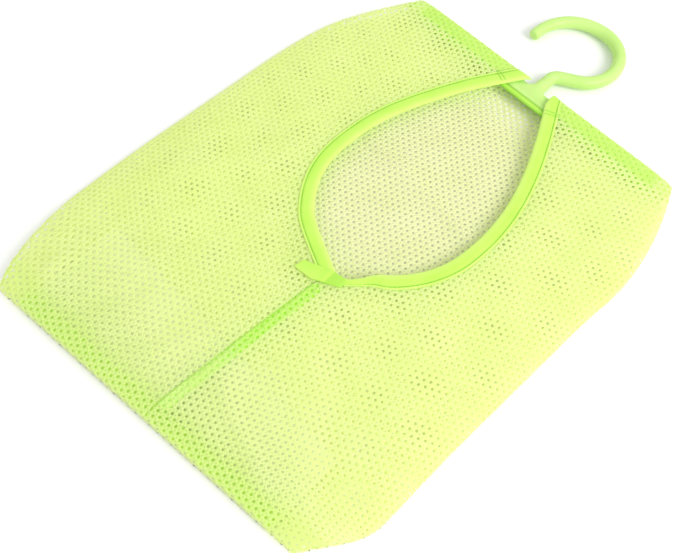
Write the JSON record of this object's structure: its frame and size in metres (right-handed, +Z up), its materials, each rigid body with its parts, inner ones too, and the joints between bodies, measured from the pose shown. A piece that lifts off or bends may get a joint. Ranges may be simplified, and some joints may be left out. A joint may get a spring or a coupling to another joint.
{
  "type": "bath toy organizer",
  "caption": "Lime net hanging bag for bath toys: almond-shaped bound mouth, tucked-in base, straight plastic hanger with a swivel hook.",
  "frame": {"origin": "on the floor under the middle of the whole object, which lies on its back panel", "axes": "+Z up off the floor out of the mouth, +Y from the bag's bottom edge toward the hook, +X to the bag's right"},
  "size_m": [0.2992, 0.4548, 0.0149],
  "materials": {
    "net": "matte knitted net",
    "tape": "matte woven tape",
    "plastic": "semi-gloss moulded"
  },
  "bodies": {
    "bag": {"back_panel": "net", "front_panel_left": "net", "front_panel_right": "net", "base_gusset": "net", "centre_seam": "net", "front_base_seam": "net", "back_base_seam": "net", "mouth_binding_left": "tape", "mouth_binding_right": "tape", "binding_tail": "tape", "hanger_strap": "tape", "hanger": "plastic"},
    "hook": {"swivel_hook": "plastic"}
  },
  "joints": [
    {"name": "hook_swivel", "type": "hinge", "parent": "bag", "child": "hook", "pos_m": [0.00819, 0.15159, 0.0062], "axis": [0, 1, 0], "continuous": true}
  ]
}
